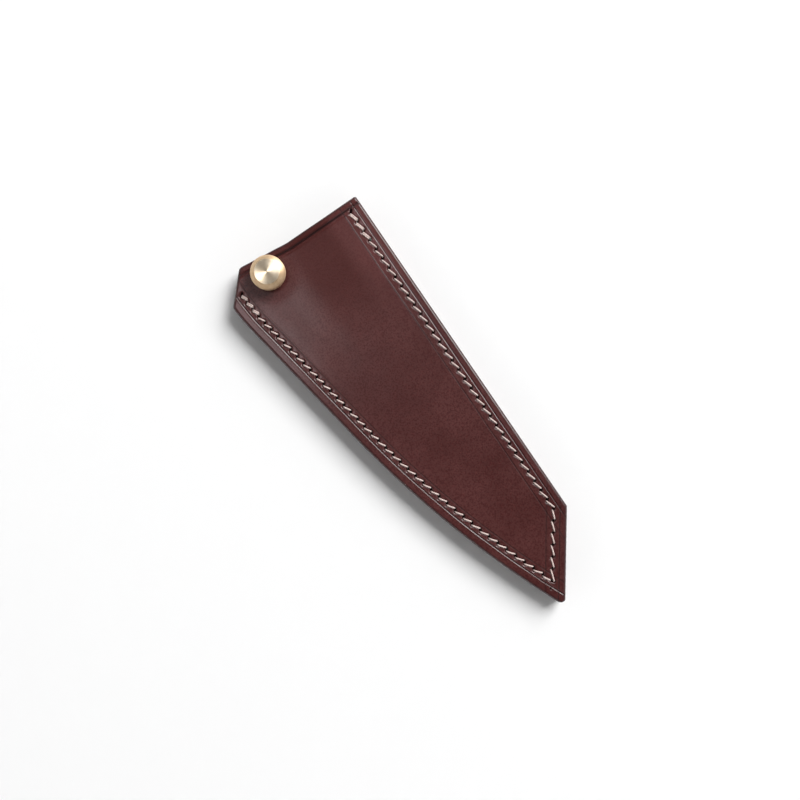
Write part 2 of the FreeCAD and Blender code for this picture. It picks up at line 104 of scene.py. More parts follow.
# ------------------------------------------------------------------ plan of the sheath
ALONG_BELLY = vec(math.cos(BELLY_ANGLE), math.sin(BELLY_ANGLE))
INTO_BELLY = vec(-math.sin(BELLY_ANGLE), math.cos(BELLY_ANGLE))
ALONG_TIP = vec(math.cos(TIP_ANGLE), -math.sin(TIP_ANGLE))
INTO_TIP = vec(-math.sin(TIP_ANGLE), -math.cos(TIP_ANGLE))
HEEL = vec(HEEL_SETBACK, 0)
EAR = vec(0, EAR_RISE)
FLARE_TOP = vec(EAR_FLARE, FLARE_RISE)
MOUTH_TOP = vec(EAR_FLARE, SHEATH_HEIGHT)
SPINE_END = vec(SHEATH_LENGTH - TIP_LENGTH, SHEATH_HEIGHT)
TIP_TOP = SPINE_END + ALONG_TIP * TIP_LENGTH / math.cos(TIP_ANGLE)
TIP_BOTTOM = TIP_TOP - vec(BLUNT_SETBACK, BLUNT_DROP)
EASE_RUN = EASE_RADIUS * math.sin(BELLY_ANGLE) - EASE_LENGTH
EASE_CENTRE = vec(HEEL[0] - EASE_RUN, math.sqrt(EASE_RADIUS**2 - EASE_RUN**2))
EASE_END = EASE_CENTRE - INTO_BELLY * EASE_RADIUS
REACH = TIP_BOTTOM - EASE_END
STRAIGHT = REACH @ ALONG_BELLY - math.sqrt(
    BELLY_RADIUS**2 - (BELLY_RADIUS - REACH @ INTO_BELLY)**2)
BELLY_START = EASE_END + ALONG_BELLY * STRAIGHT
BELLY_CENTRE = BELLY_START + INTO_BELLY * BELLY_RADIUS
PIN = vec(EAR_FLARE + PIN_INSET, PIN_RISE)
AWL_PRICK = vec(191.7, 45.4)

# SHIFT takes a plan point to its place in the frame. The plan starts at the corner of the
# sheath's box that is beside its heel and mouth.
bush_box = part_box("front_bush")
pin_x, spine_y = (bush_box[0].x + bush_box[1].x) / 2 / MM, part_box("front_panel")[1].y / MM
SHIFT = vec(pin_x, spine_y) - vec(PIN[0], SHEATH_HEIGHT)
FRONT_BOTTOM, FRONT_TOP = heights("front_panel")
BACK_TOP = heights("back_panel")[1]


def arc_points(centre, first, last, step=0.1):
    """Points along a circle from first to last, the short way."""
    radius = np.linalg.norm(first - centre)
    a, b = (math.atan2(*(p - centre)[::-1]) for p in (first, last))
    turn = (b - a + math.pi) % (2 * math.pi) - math.pi
    count = max(2, int(abs(turn) * radius / step))
    angles = a + turn * np.arange(count + 1) / count
    return centre + radius * np.stack([np.cos(angles), np.sin(angles)], 1)


def line_points(first, last, step=0.1):
    """Points along a straight line, with both its ends."""
    count = max(2, int(np.linalg.norm(last - first) / step))
    return first + (last - first) * (np.arange(count + 1) / count)[:, None]


def rounded_corner(before, corner, after, radius):
    """Arc that rounds a corner between two straight directions, as dense points."""
    incoming = (corner - before) / np.linalg.norm(corner - before)
    outgoing = (after - corner) / np.linalg.norm(after - corner)
    turn = math.acos(np.clip(incoming @ outgoing, -1, 1))
    setback = radius * math.tan(turn / 2)
    first, last = corner - incoming * setback, corner + outgoing * setback
    inward = (outgoing - incoming) / np.linalg.norm(outgoing - incoming)
    centre = corner + inward * radius / math.cos(turn / 2)
    return arc_points(centre, first, last, 0.05)


def halves(arc):
    """The two halves of a corner's arc, one for each side that meets there."""
    middle = len(arc) // 2
    return arc[:middle + 1], arc[middle:]


belly_slope_end = (TIP_BOTTOM - BELLY_CENTRE) @ np.array([[0, 1], [-1, 0]])
belly_slope_end /= np.linalg.norm(belly_slope_end)
heel_slope = vec(1, math.tan(math.asin(EASE_RUN / EASE_RADIUS)))
heel_arc = halves(rounded_corner(EAR, HEEL, HEEL + heel_slope, HEEL_ROUND))
low_tip_arc = halves(rounded_corner(TIP_BOTTOM - abs(belly_slope_end), TIP_BOTTOM, TIP_TOP,
                                    CORNER_ROUND))
high_tip_arc = halves(rounded_corner(TIP_BOTTOM, TIP_TOP, SPINE_END, CORNER_ROUND))
spine_arc = rounded_corner(TIP_TOP, SPINE_END, MOUTH_TOP, CORNER_ROUND)
mouth_arc = halves(rounded_corner(SPINE_END, MOUTH_TOP, FLARE_TOP, CORNER_ROUND))
ear_arc = rounded_corner(FLARE_TOP, EAR, HEEL, HEEL_ROUND)

bottom_curve = np.concatenate([heel_arc[1], arc_points(EASE_CENTRE, heel_arc[1][-1], EASE_END),
                               line_points(EASE_END, BELLY_START),
                               arc_points(BELLY_CENTRE, BELLY_START, low_tip_arc[0][0]),
                               low_tip_arc[0]])
right_curve = np.concatenate([low_tip_arc[1], high_tip_arc[0]])
top_curve = np.concatenate([high_tip_arc[1], line_points(high_tip_arc[1][-1], spine_arc[0]),
                            spine_arc, line_points(spine_arc[-1], mouth_arc[0][0]),
                            mouth_arc[0]])[::-1]
left_curve = np.concatenate([mouth_arc[1], line_points(mouth_arc[1][-1], FLARE_TOP),
                             line_points(FLARE_TOP, ear_arc[0]), ear_arc,
                             line_points(ear_arc[-1], heel_arc[0][0]), heel_arc[0]])[::-1]
outline_points = np.concatenate([bottom_curve, right_curve, top_curve, left_curve])
outline_tree = kdtree.KDTree(len(outline_points))
for number, point in enumerate(outline_points):
    outline_tree.insert((*point, 0), number)
outline_tree.balance()


def outline_distance(points):
    """How far each plan point is from the sheath's outline."""
    return np.array([outline_tree.find((*p, 0))[2] for p in points])


# How far plan points lie in from each side of the sheath
def spine_distance(p):
    return SHEATH_HEIGHT - p[:, 1]


def tip_distance(p):
    return (p - SPINE_END) @ INTO_TIP


def belly_distance(p):
    run = (p - EASE_END) @ ALONG_BELLY
    straight = (p - EASE_END) @ INTO_BELLY
    ease = EASE_RADIUS - np.linalg.norm(p - EASE_CENTRE, axis=1)
    belly = BELLY_RADIUS - np.linalg.norm(p - BELLY_CENTRE, axis=1)
    return np.where(run < 0, ease, np.where(run > STRAIGHT, belly, straight))


def mouth_distance(p):
    flare = EAR_FLARE * np.clip((p[:, 1] - EAR_RISE) / (FLARE_RISE - EAR_RISE), 0, 1)
    return p[:, 0] - flare


def smooth(low, high, x):
    """Rise from 0 at low to 1 at high, level at both ends."""
    t = np.clip((x - low) / (high - low), 0, 1)
    return t * t * (3 - 2 * t)


# ------------------------------------------------------------------ stitch holes
ROW_TOP = SHEATH_HEIGHT - SPINE_ROW
tip_line = SPINE_END + INTO_TIP * TIP_ROW
SPINE_CORNER = tip_line + ALONG_TIP * (tip_line[1] - ROW_TOP) / math.sin(TIP_ANGLE)
to_centre = BELLY_CENTRE - SPINE_CORNER
middle_run = to_centre @ ALONG_TIP
half_chord = math.sqrt((BELLY_RADIUS - EDGE_ROW)**2
                       - np.sum((to_centre - ALONG_TIP * middle_run)**2))
TIP_CORNER = SPINE_CORNER + ALONG_TIP * (middle_run + half_chord)
last_run = ROW_END - EASE_CENTRE[0]
LAST_HOLE = EASE_CENTRE + vec(last_run, -math.sqrt((EASE_RADIUS - EDGE_ROW)**2 - last_run**2))


def row_of_holes(curve, shares):
    """Points at the given shares of a curve's length, and that length."""
    steps = np.linalg.norm(np.diff(curve, axis=0), axis=1)
    run = np.concatenate([[0], np.cumsum(steps)])
    return np.stack([np.interp(shares * run[-1], run, curve[:, i]) for i in (0, 1)], 1), run[-1]


def straight_row(first, last):
    """Holes from first up to, but not at, last."""
    count = round(np.linalg.norm(last - first) / STITCH_PITCH)
    return first + (last - first) * (np.arange(count) / count)[:, None]


edge_curve = np.concatenate([
    arc_points(EASE_CENTRE, LAST_HOLE, EASE_END + INTO_BELLY * EDGE_ROW),
    line_points(EASE_END + INTO_BELLY * EDGE_ROW, BELLY_START + INTO_BELLY * EDGE_ROW),
    arc_points(BELLY_CENTRE, BELLY_START + INTO_BELLY * EDGE_ROW, TIP_CORNER)])
edge_length = row_of_holes(edge_curve, np.zeros(1))[1]
edge_count = round(edge_length / EDGE_PITCH)
shares = np.arange(edge_count, -1, -1) / edge_count
start_share = HEEL_PITCH / EDGE_PITCH
edge_holes = row_of_holes(edge_curve, start_share * shares + (1 - start_share) * shares**2)[0]
first_hole = vec(EAR_FLARE + ROW_START, ROW_TOP)
holes = np.concatenate([straight_row(first_hole, SPINE_CORNER),
                        straight_row(SPINE_CORNER, TIP_CORNER), edge_holes])
steps = np.diff(holes, axis=0)
steps /= np.linalg.norm(steps, axis=1)[:, None]
ahead = np.concatenate([steps[:1], steps]) + np.concatenate([steps, steps[-1:]])
ahead /= np.linalg.norm(ahead, axis=1)[:, None]
left_of = np.stack([-ahead[:, 1], ahead[:, 0]], 1)
downs = holes + (left_of - ahead) * SLIT_REACH
ups = holes - (left_of - ahead) * SLIT_REACH
STITCHES = range(len(holes) - 1)
DOUBLED = [STITCHES[:3], STITCHES[-3:]]          # stitches sewn twice, at both ends of the seam


# ------------------------------------------------------------------ relief of a leather face
def segment_distance(p, a, b):
    """Distance from points to a segment, and where along it they lie, from 0 to 1."""
    run = np.clip(((p - a) @ (b - a)) / np.sum((b - a)**2), 0, 1)
    return np.linalg.norm(p - (a + run[:, None] * (b - a)), axis=1), run


def groove(distance, at, width, depth):
    """Creased line: a pressed valley with soft raised shoulders."""
    x = (distance - at) / width
    return depth * (np.exp(-x * x * 2.2) - 0.28 * np.exp(-(np.abs(x) - 1.5)**2 * 2.5))


def value_noise(p, scale, seed):
    """Smooth noise from -1 to 1, by interpolating random values on a square lattice."""
    table = np.random.default_rng(seed).uniform(-1, 1, (NOISE_CELLS, NOISE_CELLS))
    q = p / scale
    cell = np.floor(q).astype(int)
    f = q - cell
    f = f * f * (3 - 2 * f)
    corner = [[table[(cell[:, 0] + i) % NOISE_CELLS, (cell[:, 1] + j) % NOISE_CELLS]
               for j in (0, 1)] for i in (0, 1)]
    low = corner[0][0] * (1 - f[:, 0]) + corner[1][0] * f[:, 0]
    high = corner[0][1] * (1 - f[:, 0]) + corner[1][1] * f[:, 0]
    return low * (1 - f[:, 1]) + high * f[:, 1]


def relief(p, edge, front):
    """How deep each point lies below the face, and how much of it is crease, well and hole."""
    spine, tip, belly = spine_distance(p), tip_distance(p), belly_distance(p)
    depth = np.zeros(len(p))
    roll = np.clip(EDGE_ROUND - edge, 0, EDGE_ROUND)
    depth += EDGE_ROUND - np.sqrt(EDGE_ROUND**2 - roll**2)
    crease = np.zeros(len(p))
    if front:
        wander = 0.07 * value_noise(p, 9.0, 3)
        faded = smooth(0.2, 1.4, edge)
        for distance, lines in ((spine, SPINE_CREASES), (belly, EDGE_CREASES), (tip, TIP_CREASES)):
            for at, width, cut in lines:
                pressed = groove(distance + wander, at, width, cut)
                crease = np.maximum(crease, np.clip(pressed / cut, 0, 1))
                depth += pressed * faded
        at, width, cut = MOUTH_GROOVE
        strength = 0.45 + 0.55 * smooth(10, 30, p[:, 1]) * (1 - 0.5 * smooth(60, 70, p[:, 1]))
        pressed = groove(mouth_distance(p) + 0.5 * wander, at, width, cut) * strength
        # Above 1 for the mouth groove, so that its painted shade is darker still.
        crease = np.maximum(crease, 1.25 * np.clip(pressed / cut, 0, 1))
        depth += pressed * faded
    well, hole = stitch_relief(p, front)
    depth += WELL_DEPTH * well + HOLE_DEPTH * hole
    calm = smooth(0, 3, edge) * (1 - well)
    depth -= calm * sum(high * value_noise(p, scale, seed) for high, scale, seed in UNEVENNESS)
    prick = np.linalg.norm(p - AWL_PRICK, axis=1) / PRICK_SPREAD
    depth += PRICK_DEPTH * np.exp(-prick**4)
    inside = np.minimum(np.minimum(spine, belly), tip)
    depth += SINK_DEPTH * smooth(7.0, 22.0, inside)
    return depth, crease, well, hole


def stitch_relief(p, front):
    """The scalloped well that each stitch pulls into the leather, and the holes at its ends."""
    well, hole = np.zeros(len(p)), np.zeros(len(p))
    starts, ends = (ups, downs) if front else (downs, ups)
    for k in STITCHES:
        a, b = starts[k], ends[k + 1]
        near = np.nonzero(np.linalg.norm(p - (a + b) / 2, axis=1) < WELL_REACH)[0]
        if not len(near):
            continue
        off, run = segment_distance(p[near], a, b)
        spread = WELL_SPREAD - 0.12 * np.sin(math.pi * run)
        if k in DOUBLED[0] or k in DOUBLED[1]:
            spread = spread + DOUBLED_SPREAD
        pull = 1.0 - 0.45 * np.sin(math.pi * run)
        well[near] = np.maximum(well[near], pull * np.exp(-(off / spread)**2 * 1.3))
    for k in range(len(holes)):
        near = np.nonzero(np.linalg.norm(p - holes[k], axis=1) < HOLE_REACH)[0]
        if not len(near):
            continue
        off, _ = segment_distance(p[near], downs[k], ups[k])
        hole[near] = np.maximum(hole[near], np.exp(-(off / HOLE_SPREAD)**4))
        off = np.linalg.norm(p[near] - holes[k], axis=1)
        well[near] = np.maximum(well[near], 0.6 * np.exp(-(off / RIM_SPREAD)**2))
    return well, hole


# ------------------------------------------------------------------ mesh helpers
def world(points, z):
    """Plan points and heights in millimetres to the frame, in metres."""
    return np.column_stack([points + SHIFT, z]) * MM


def linked_object(name, data):
    piece = bpy.data.objects.new(name, data)
    bpy.context.scene.collection.objects.link(piece)
    return piece


def new_object(name, vertices, faces, materials, smooth_faces=True):
    mesh = bpy.data.meshes.new(name)
    mesh.from_pydata([tuple(v) for v in vertices], [], [tuple(int(i) for i in f) for f in faces])
    mesh.validate()
    if smooth_faces:
        mesh.shade_smooth()
    for material in materials:
        mesh.materials.append(material)
    return linked_object(name, mesh)


def point_values(mesh, name, values):
    """Store one number for each vertex, for a material to read."""
    layer = mesh.attributes.new(name, "FLOAT", "POINT")
    layer.data.foreach_set("value", values.astype(np.float32))


def graded(stretches):
    """Positions from 0 through stretches, each (length, number of steps)."""
    places = [0.0]
    for length, count in stretches:
        start = places[-1]
        places += [start + length * (i + 1) / count for i in range(count)]
    return np.array(places)


# Stretches of a panel's grid, as (length, steps): close at the rim and across the creases
RIM_STRETCHES = [(0.06, 1), (0.24, 2), (0.9, 4)]
BAND_SHARE = 0.42                # most of a column's height that one side's band may take


def panel_grid(fine):
    """Plan grid of a panel: columns from the mouth to the tip, rows at set distances from both
    long sides, closer together where the creases and stitches are."""
    band = graded(RIM_STRETCHES + [(1.6, 4), (6.8, int(31 * fine)), (2.4, 5)])
    columns_mm = graded(RIM_STRETCHES + [(4.8, int(20 * fine)), (192.4, int(560 * fine)),
                                         (0.9, 3), (0.24, 2), (0.06, 1)])
    share = columns_mm / columns_mm[-1]
    mouth_low, tip_low = bottom_curve[0], bottom_curve[-1]
    mouth_high, tip_high = top_curve[0], top_curve[-1]
    bottom_x = mouth_low[0] + share * (tip_low - mouth_low)[0]
    top_x = mouth_high[0] + share * (tip_high - mouth_high)[0]
    bottom_y = np.interp(bottom_x, bottom_curve[:, 0], bottom_curve[:, 1])
    top_y = np.interp(top_x, top_curve[:, 0], top_curve[:, 1])
    height = top_y - bottom_y
    scale = np.minimum(1.0, BAND_SHARE * height / band[-1])
    middle_steps = int(52 * fine)
    rows = [place * scale / height for place in band]
    low, high = rows[-1], 1 - rows[-1]
    for i in range(1, middle_steps):
        rows.append(low + (high - low) * i / middle_steps)
    rows += [1 - place * scale / height for place in band[::-1]]
    v = np.array(rows).T
    s = share[:, None]
    left_y = mouth_low[1] + v * (mouth_high - mouth_low)[1]
    right_y = tip_low[1] + v * (tip_high - tip_low)[1]
    left_x = np.interp(left_y, left_curve[:, 1], left_curve[:, 0])
    right_x = np.interp(right_y, right_curve[:, 1], right_curve[:, 0])
    x = (1 - s) * left_x + s * right_x
    y = (1 - v) * bottom_y[:, None] + v * top_y[:, None]
    return np.stack([x, y], 2)


def leather_panel(name, outer_z, inner_z, fine, materials):
    """A closed panel: detailed outer face, rolled edge, and a flat flesh side with the bush hole."""
    front = outer_z > inner_z
    grid = panel_grid(fine)
    nx, ny = grid.shape[:2]
    flat = grid.reshape(-1, 2)
    edge = outline_distance(flat)
    depth, crease, well, hole = relief(flat, edge, front)
    side = 1 if front else -1
    if not front:
        depth = np.maximum(depth, 0.0)
    z = outer_z - side * depth
    index = np.arange(nx * ny).reshape(nx, ny)
    quads = np.stack([index[:-1, :-1], index[1:, :-1], index[1:, 1:], index[:-1, 1:]], -1)
    quads = quads.reshape(-1, 4)
    centres = flat[quads].mean(1)
    quads = quads[np.linalg.norm(centres - PIN, axis=1) > HOLE_RADIUS]
    if not front:
        quads = quads[:, ::-1]
    piece = new_object(name, world(flat, z), quads, materials)
    for label, values in (("edge", edge), ("crease", crease), ("well", well), ("hole", hole)):
        point_values(piece.data, label, values)
    close_panel(piece.data, flat.mean(0), inner_z, outer_z - side * EDGE_ROUND)
    return piece


# Rows of a panel's cut edge: share of the way down its wall, and how far out it swells
WALL_ROWS = [(0.34, 0.05), (0.67, 0.0), (0.9, -0.1), (1.0, -0.2)]


def close_panel(mesh, middle, inner_z, wall_z):
    """Add the side wall, the bush hole's wall and the flesh side to an outer face."""
    bm = bmesh.new()
    bm.from_mesh(mesh)
    loose = [v for v in bm.verts if not v.link_faces]
    bmesh.ops.delete(bm, geom=loose, context="VERTS")
    rim = [e for e in bm.edges if e.is_boundary]
    pin = Vector(PIN + SHIFT) * MM
    centre = Vector(middle + SHIFT) * MM
    for share, swell in WALL_ROWS:
        grown = bmesh.ops.extrude_edge_only(bm, edges=rim)["geom"]
        rim = [g for g in grown if isinstance(g, bmesh.types.BMEdge)]
        fresh = {v for e in rim for v in e.verts}
        for v in fresh:
            v.co.z = inner_z * MM + (wall_z - inner_z) * MM * (1 - share)
            at_hole = (v.co.xy - pin).length < 2 * HOLE_RADIUS * MM
            if not at_hole:
                out = (v.co.xy - centre).normalized()
                v.co.x += out.x * (swell * MM)
                v.co.y += out.y * (swell * MM)
    filled = bmesh.ops.triangle_fill(bm, edges=rim, use_beauty=False, use_dissolve=False)
    for face in filled["geom"]:
        if isinstance(face, bmesh.types.BMFace):
            face.material_index = 1
            face.smooth = False
    bmesh.ops.recalc_face_normals(bm, faces=bm.faces)
    bm.to_mesh(mesh)
    bm.free()


# ------------------------------------------------------------------ materials
def new_material(name):
    material = bpy.data.materials.new(name)
    material.use_nodes = True
    tree = material.node_tree
    tree.nodes.clear()
    shader = tree.nodes.new("ShaderNodeBsdfPrincipled")
    output = tree.nodes.new("ShaderNodeOutputMaterial")
    tree.links.new(shader.outputs[0], output.inputs[0])
    return material, tree, shader


def srgb(r, g, b):
    """Linear colour of an sRGB colour given from 0 to 255."""
    linear = [((c / 255 + 0.055) / 1.055)**2.4 if c > 10 else c / 3294.6 for c in (r, g, b)]
    return (*linear, 1)


LEATHER_DEEP, LEATHER_PALE, LEATHER_STREAK = srgb(68, 30, 28), srgb(78, 38, 36), srgb(54, 4, 4)
# The lighter spine colour is a painted sheen.
LEATHER_MOUTH, LEATHER_SPINE_SHEEN = srgb(62, 18, 14), srgb(94, 44, 42)
# The crease, well and hole colours are painted shade for the creases, stitch wells and holes.
LEATHER_EDGE, LEATHER_CREASE_SHADE = srgb(44, 20, 22), srgb(26, 11, 11)
LEATHER_WELL_SHADE, LEATHER_HOLE_SHADE = srgb(52, 27, 26), srgb(14, 8, 8)
FLESH_DEEP, FLESH_PALE = srgb(70, 44, 34), srgb(112, 78, 58)
BURNISH_DEEP, BURNISH_PALE = srgb(44, 24, 22), srgb(74, 44, 38)
LINEN_DEEP, LINEN_PALE, LINEN_PLY_SHADE = srgb(204, 180, 172), srgb(246, 230, 224), srgb(128, 96, 88)
SCORCH_DEEP, SCORCH_PALE = srgb(42, 44, 42), srgb(86, 88, 82)
FACE_DEEP, FACE_PALE = srgb(243, 222, 192), srgb(252, 236, 212)
SIDE_SHADE_DEEP, SIDE_SHADE_PALE = srgb(206, 176, 140), srgb(222, 196, 162)

# Where the leather's tone and wax change, in metres: along X, along Y twice, and from the screw
MOUTH_FADE, KNOB_FADE, SPINE_FADE = (-0.08, -0.03), (-0.007, 0.003), (0.015, 0.024)
RUBBED_RING = 0.010, 0.017


def noise_node(tree, coords, scale, detail, rough):
    node = tree.nodes.new("ShaderNodeTexNoise")
    node.inputs["Scale"].default_value = scale
    node.inputs["Detail"].default_value = detail
    node.inputs["Roughness"].default_value = rough
    tree.links.new(coords, node.inputs["Vector"])
    return node.outputs["Fac"]


def math_node(tree, kind, first, second, clamp=False):
    node = tree.nodes.new("ShaderNodeMath")
    node.operation = kind
    node.use_clamp = clamp
    for socket, value in zip(node.inputs, (first, second)):
        if isinstance(value, (int, float)):
            socket.default_value = value
        else:
            tree.links.new(value, socket)
    return node.outputs[0]


def ramp(tree, fac, low, high, to_low=0.0, to_high=1.0):
    """Smooth change from to_low to to_high as fac goes from low to high."""
    node = tree.nodes.new("ShaderNodeMapRange")
    node.interpolation_type = "SMOOTHSTEP"
    for name, value in (("From Min", low), ("From Max", high), ("To Min", to_low),
                        ("To Max", to_high)):
        node.inputs[name].default_value = value
    tree.links.new(fac, node.inputs["Value"])
    return node.outputs[0]


def mix_colour(tree, fac, first, second):
    node = tree.nodes.new("ShaderNodeMix")
    node.data_type = "RGBA"
    for socket, value in ((node.inputs[0], fac), (node.inputs[6], first), (node.inputs[7], second)):
        if isinstance(value, (int, float, tuple)):
            socket.default_value = value
        else:
            tree.links.new(value, socket)
    return node.outputs[2]


def attribute(tree, name):
    node = tree.nodes.new("ShaderNodeAttribute")
    node.attribute_name = name
    return node.outputs["Fac"]


def object_coords(tree):
    return tree.nodes.new("ShaderNodeTexCoord").outputs["Object"]


def bump(tree, height, strength, distance, normal=None):
    node = tree.nodes.new("ShaderNodeBump")
    node.inputs["Strength"].default_value = strength
    node.inputs["Distance"].default_value = distance
    tree.links.new(height, node.inputs["Height"])
    if normal is not None:
        tree.links.new(normal, node.inputs["Normal"])
    return node.outputs[0]


def scaled(tree, value, by):
    return math_node(tree, "MULTIPLY", value, by)


def pin_distance(tree, coords):
    """Distance in plan from the thumb screw's axis."""
    flat = tree.nodes.new("ShaderNodeVectorMath")
    flat.operation = "MULTIPLY"
    flat.inputs[1].default_value = (1, 1, 0)
    tree.links.new(coords, flat.inputs[0])
    from_pin = tree.nodes.new("ShaderNodeVectorMath")
    from_pin.operation = "DISTANCE"
    from_pin.inputs[1].default_value = (*((PIN + SHIFT) * MM), 0)
    tree.links.new(flat.outputs[0], from_pin.inputs[0])
    return from_pin.outputs["Value"]


def leather_tone(tree, coords, mottle):
    """Mottled, streaked dye with a painted sheen beside the spine, and how strong the darker patch
    beside the mouth is.
    """
    streak = noise_node(tree, coords, 1350.0, 3.0, 0.6)
    tone = mix_colour(tree, ramp(tree, mottle, 0.35, 0.7), LEATHER_DEEP, LEATHER_PALE)
    streak = ramp(tree, streak, 0.42, 0.66, 0.0, 0.75)
    tone = mix_colour(tree, streak, tone, LEATHER_STREAK)
    place = tree.nodes.new("ShaderNodeSeparateXYZ")
    tree.links.new(coords, place.inputs[0])
    near_mouth = ramp(tree, place.outputs["X"], *MOUTH_FADE, 1.0, 0.0)
    above_knob = ramp(tree, place.outputs["Y"], *KNOB_FADE)
    below_spine = ramp(tree, place.outputs["Y"], *SPINE_FADE, 1.0, 0.0)
    # A patch beside the mouth, above the knob and below the spine, that is darker and less glossy.
    mouth_patch = math_node(tree, "MULTIPLY", near_mouth, above_knob)
    mouth_patch = math_node(tree, "MULTIPLY", mouth_patch, below_spine)
    tone = mix_colour(tree, scaled(tree, mouth_patch, 0.6), tone, LEATHER_MOUTH)
    # Painted sheen: a lighter tone beside the spine near the mouth, where light falls on that side.
    spine_sheen = ramp(tree, place.outputs["Y"], *SPINE_FADE)
    spine_sheen = math_node(tree, "MULTIPLY", spine_sheen, near_mouth)
    tone = mix_colour(tree, scaled(tree, spine_sheen, 0.35), tone, LEATHER_SPINE_SHEEN)
    return tone, mouth_patch


def grain_leather(name):
    """Dark brown waxed leather: fine pebbled grain, mottled dye, painted shade in the creases,
    stitch wells and holes, a painted sheen beside the spine, a darker, duller patch beside the
    mouth, and wax that is rubbed off round the knob."""
    material, tree, shader = new_material(name)
    coords = object_coords(tree)
    mottle = noise_node(tree, coords, 45.0, 5.0, 0.6)
    tone, mouth_patch = leather_tone(tree, coords, mottle)
    edge = ramp(tree, attribute(tree, "edge"), 0.5, 1.5, 1.0, 0.0)
    # The edge takes its darker dye; the creases, stitch wells and holes take painted shade.
    for fac, amount, colour in ((edge, 0.7, LEATHER_EDGE),
                                (attribute(tree, "crease"), 0.75, LEATHER_CREASE_SHADE),
                                (attribute(tree, "well"), 0.35, LEATHER_WELL_SHADE),
                                (attribute(tree, "hole"), 1.0, LEATHER_HOLE_SHADE)):
        tone = mix_colour(tree, scaled(tree, fac, amount), tone, colour)
    tree.links.new(tone, shader.inputs["Base Color"])
    pebble = tree.nodes.new("ShaderNodeTexVoronoi")
    pebble.feature = "SMOOTH_F1"
    pebble.inputs["Scale"].default_value = 1500.0
    pebble.inputs["Smoothness"].default_value = 0.6
    tree.links.new(coords, pebble.inputs["Vector"])
    fine = noise_node(tree, coords, 2600.0, 3.0, 0.6)
    rough = math_node(tree, "ADD", ramp(tree, mottle, 0.3, 0.7, 0.40, 0.46),
                      scaled(tree, attribute(tree, "hole"), 0.4), True)
    tree.links.new(rough, shader.inputs["Roughness"])
    normal = bump(tree, pebble.outputs["Distance"], 0.6, 0.00004)
    normal = bump(tree, fine, 0.35, 0.00002, normal)
    tree.links.new(normal, shader.inputs["Normal"])
    shader.inputs["Specular IOR Level"].default_value = 0.24
    rubbed = ramp(tree, pin_distance(tree, coords), *RUBBED_RING, 0.85, 0.0)
    dull = math_node(tree, "MAXIMUM", mouth_patch, rubbed)
    tree.links.new(ramp(tree, dull, 0.0, 1.0, 0.5, 0.08), shader.inputs["Coat Weight"])
    shader.inputs["Coat Roughness"].default_value = 0.17
    return material


def flesh_leather(name):
    """The leather's fibrous, undyed inner side."""
    material, tree, shader = new_material(name)
    coords = object_coords(tree)
    fibre = noise_node(tree, coords, 900.0, 6.0, 0.7)
    base = mix_colour(tree, ramp(tree, fibre, 0.3, 0.75), FLESH_DEEP, FLESH_PALE)
    tree.links.new(base, shader.inputs["Base Color"])
    shader.inputs["Roughness"].default_value = 0.9
    tree.links.new(bump(tree, fibre, 0.8, 0.0002), shader.inputs["Normal"])
    return material


def burnished_leather(name):
    """Cut edge of the leather, dyed dark and rubbed to a low gloss."""
    material, tree, shader = new_material(name)
    coords = object_coords(tree)
    mottle = noise_node(tree, coords, 320.0, 4.0, 0.65)
    base = mix_colour(tree, ramp(tree, mottle, 0.3, 0.75), BURNISH_DEEP,
                      BURNISH_PALE)
    tree.links.new(base, shader.inputs["Base Color"])
    tree.links.new(ramp(tree, mottle, 0.3, 0.8, 0.34, 0.5), shader.inputs["Roughness"])
    tree.links.new(bump(tree, mottle, 0.5, 0.0002), shader.inputs["Normal"])
    return material


def waxed_linen(name, dark, light):
    """Waxed thread, with painted shade between its plies."""
    material, tree, shader = new_material(name)
    coords = object_coords(tree)
    fibre = noise_node(tree, coords, 1800.0, 4.0, 0.7)
    base = mix_colour(tree, ramp(tree, fibre, 0.3, 0.75), dark, light)
    ply = scaled(tree, attribute(tree, "ply"), 0.8)
    base = mix_colour(tree, ply, base, LINEN_PLY_SHADE)
    tree.links.new(base, shader.inputs["Base Color"])
    shader.inputs["Roughness"].default_value = 0.6
    shader.inputs["Sheen Weight"].default_value = 0.2
    tree.links.new(bump(tree, fibre, 0.5, 0.0001), shader.inputs["Normal"])
    return material


def turned_brass(name, dark, light, rough):
    """Brass with turning marks that run round the screw's axis."""
    material, tree, shader = new_material(name)
    coords = object_coords(tree)
    stain = noise_node(tree, coords, 240.0, 4.0, 0.6)
    base = mix_colour(tree, ramp(tree, stain, 0.3, 0.75), dark, light)
    tree.links.new(base, shader.inputs["Base Color"])
    shader.inputs["Metallic"].default_value = 1.0
    shader.inputs["Anisotropic"].default_value = 0.7
    shader.inputs["Anisotropic Rotation"].default_value = 0.25
    tangent = tree.nodes.new("ShaderNodeTangent")
    tangent.direction_type = "RADIAL"
    tangent.axis = "Z"
    tree.links.new(tangent.outputs[0], shader.inputs["Tangent"])
    tree.links.new(ramp(tree, stain, 0.3, 0.8, rough, rough + 0.06), shader.inputs["Roughness"])
    return material


GRAIN = grain_leather("grain_leather")
FLESH = flesh_leather("flesh_leather")
BURNISHED = burnished_leather("burnished_leather")
LINEN = waxed_linen("waxed_linen", LINEN_DEEP, LINEN_PALE)
BRASS = turned_brass("turned_brass", FACE_DEEP, FACE_PALE, 0.44)
# A darker copy of the brass: painted shade for the knob's wall and cone.
SHADED_SIDE_BRASS = turned_brass("shaded_side_brass", SIDE_SHADE_DEEP, SIDE_SHADE_PALE, 0.46)
SCORCHED = waxed_linen("scorched_linen", SCORCH_DEEP, SCORCH_PALE)

# ------------------------------------------------------------------ leather pieces
SHEATH, WASHER, SCREW = "sheath", "washer", "thumb_screw"


